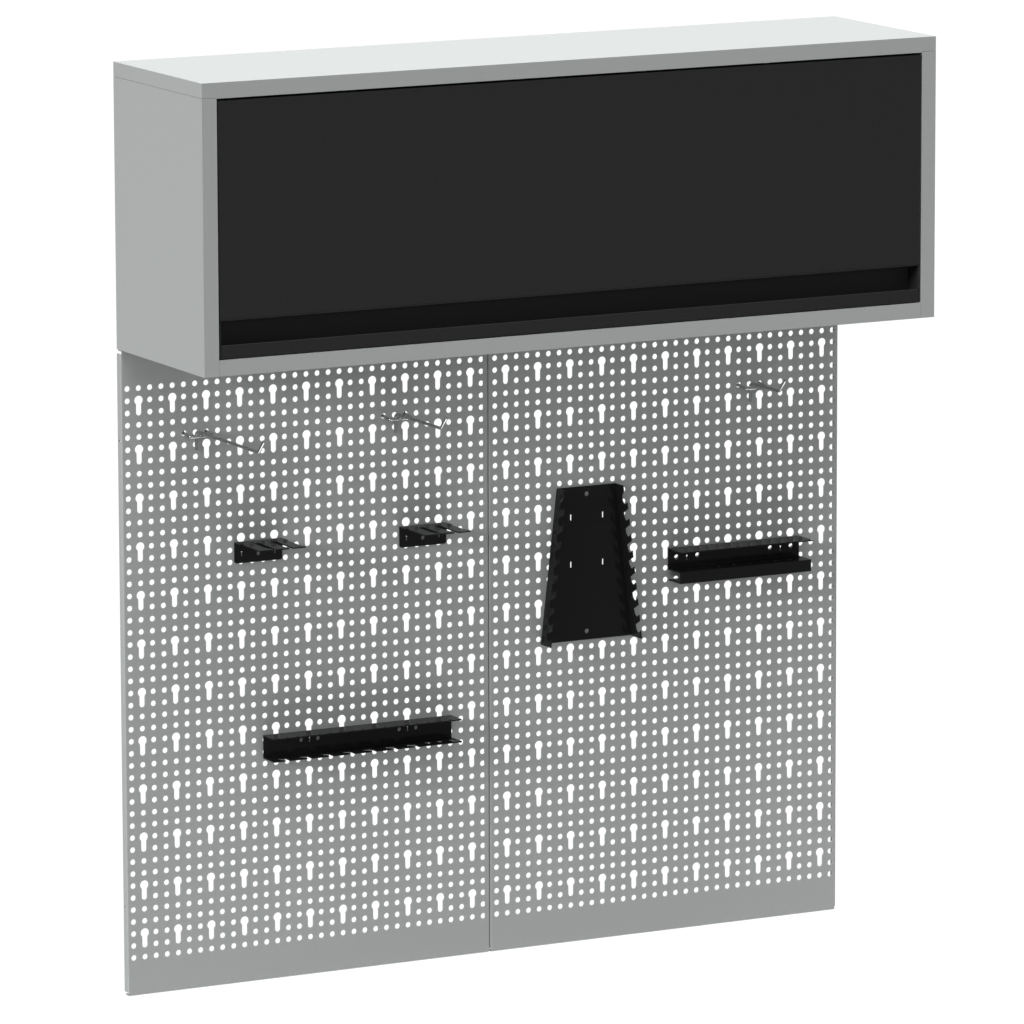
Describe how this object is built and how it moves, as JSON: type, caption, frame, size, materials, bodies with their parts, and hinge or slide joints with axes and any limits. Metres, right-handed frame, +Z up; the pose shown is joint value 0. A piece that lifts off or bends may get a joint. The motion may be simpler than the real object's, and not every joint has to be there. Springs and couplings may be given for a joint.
{
  "type": "pegboard tool wall",
  "caption": "Wall cabinet with a lift-up door over perforated steel panels that carry wire hooks, pliers holders, a wrench rack, a screwdriver shelf and a tool rail.",
  "frame": {"origin": "centre of the outer back face of the cabinet, on the wall", "axes": "+Y into the wall, +Z up, +X to the right seen from the front"},
  "size_m": [0.9958, 0.25, 1.1495],
  "materials": {
    "body_grey": "matt light-grey powder coat with a fine texture",
    "door_black": "matt black powder coat",
    "holder_black": "satin black powder coat",
    "chrome_wire": "bright chrome plating",
    "zinc_parts": "bright zinc plating",
    "nylon": "black nylon",
    "rubber": "soft black rubber",
    "strut_black": "gloss black paint"
  },
  "bodies": {
    "cabinet": {"cabinet_top": "body_grey", "cabinet_side_left": "body_grey", "cabinet_side_right": "body_grey", "cabinet_bottom": "body_grey", "cabinet_back": "body_grey", "perforated_panel_left": "body_grey", "perforated_panel_right": "body_grey", "pivot_pin_left": "zinc_parts", "pivot_pin_right": "zinc_parts", "strut_base_left": "zinc_parts", "strut_base_right": "zinc_parts", "joining_bolt_1": "zinc_parts", "joining_nut_1": "zinc_parts", "joining_bolt_2": "zinc_parts", "joining_nut_2": "zinc_parts", "panel_screw_1": "zinc_parts", "panel_nut_1": "zinc_parts", "panel_screw_2": "zinc_parts", "panel_nut_2": "zinc_parts", "panel_screw_3": "zinc_parts", "panel_nut_3": "zinc_parts", "panel_screw_4": "zinc_parts", "panel_nut_4": "zinc_parts", "door_stop_left": "rubber", "door_stop_right": "rubber"},
    "door": {"door_front": "door_black", "door_liner": "door_black", "grip_rail": "door_black", "grip_end_cap_left": "door_black", "grip_end_cap_right": "door_black", "pivot_bush_left": "nylon", "pivot_bush_right": "nylon", "strut_bracket_left": "zinc_parts", "strut_bracket_right": "zinc_parts"},
    "strut_left_lower": {"strut_cylinder_left": "strut_black"},
    "strut_left_upper": {"strut_rod_left": "zinc_parts"},
    "strut_right_lower": {"strut_cylinder_right": "strut_black"},
    "strut_right_upper": {"strut_rod_right": "zinc_parts"},
    "hook_1": {"hook_1_crossbar": "chrome_wire", "hook_1_arm": "chrome_wire"},
    "hook_2": {"hook_2_crossbar": "chrome_wire", "hook_2_arm": "chrome_wire"},
    "hook_3": {"hook_3_crossbar": "chrome_wire", "hook_3_arm": "chrome_wire"},
    "pliers_holder_left_unit": {"pliers_holder_left": "holder_black"},
    "pliers_holder_right_unit": {"pliers_holder_right": "holder_black"},
    "wrench_rack_unit": {"wrench_rack": "holder_black"},
    "screwdriver_shelf_unit": {"screwdriver_shelf": "holder_black"},
    "tool_rail_unit": {"tool_rail": "holder_black"}
  },
  "joints": [
    {"name": "door_hinge", "type": "hinge", "parent": "cabinet", "child": "door", "pos_m": [0, -0.244, 0.147], "axis": [-1, 0, 0], "range_deg": [0, 90]},
    {"name": "strut_left_swing", "type": "hinge", "parent": "cabinet", "child": "strut_left_lower", "pos_m": [-0.462, -0.134, -0.043], "axis": [1, 0, 0], "range_deg": [0, 16.53]},
    {"name": "strut_left_slide", "type": "slide", "parent": "strut_left_lower", "child": "strut_left_upper", "axis": [0, -0.4567, 0.8896], "range_m": [0, 0.04858]},
    {"name": "strut_right_swing", "type": "hinge", "parent": "cabinet", "child": "strut_right_lower", "pos_m": [0.462, -0.134, -0.043], "axis": [1, 0, 0], "range_deg": [0, 16.53]},
    {"name": "strut_right_slide", "type": "slide", "parent": "strut_right_lower", "child": "strut_right_upper", "axis": [0, -0.4567, 0.8896], "range_m": [0, 0.04858]},
    {"name": "hook_1_tilt", "type": "hinge", "parent": "cabinet", "child": "hook_1", "pos_m": [-0.39955, -0.01025, -0.283], "axis": [-1, 0, 0], "range_deg": [0, 22]},
    {"name": "hook_2_tilt", "type": "hinge", "parent": "cabinet", "child": "hook_2", "pos_m": [-0.12955, -0.01025, -0.283], "axis": [-1, 0, 0], "range_deg": [0, 22]},
    {"name": "hook_3_tilt", "type": "hinge", "parent": "cabinet", "child": "hook_3", "pos_m": [0.36955, -0.01025, -0.283], "axis": [-1, 0, 0], "range_deg": [0, 22]},
    {"name": "pliers_holder_left_lift", "type": "slide", "parent": "cabinet", "child": "pliers_holder_left_unit", "axis": [0, 0, 1], "range_m": [0, 0.006]},
    {"name": "pliers_holder_right_lift", "type": "slide", "parent": "cabinet", "child": "pliers_holder_right_unit", "axis": [0, 0, 1], "range_m": [0, 0.006]},
    {"name": "wrench_rack_lift", "type": "slide", "parent": "cabinet", "child": "wrench_rack_unit", "axis": [0, 0, 1], "range_m": [0, 0.006]},
    {"name": "screwdriver_shelf_lift", "type": "slide", "parent": "cabinet", "child": "screwdriver_shelf_unit", "axis": [0, 0, 1], "range_m": [0, 0.006]},
    {"name": "tool_rail_lift", "type": "slide", "parent": "cabinet", "child": "tool_rail_unit", "axis": [0, 0, 1], "range_m": [0, 0.006]}
  ],
  "couplings": [
    {"joint": "strut_left_swing", "follows": "door_hinge", "ratio": 0.18357},
    {"joint": "strut_left_slide", "follows": "door_hinge", "m_per_rad": 0.030895},
    {"joint": "strut_right_swing", "follows": "door_hinge", "ratio": 0.18357},
    {"joint": "strut_right_slide", "follows": "door_hinge", "m_per_rad": 0.030895}
  ]
}
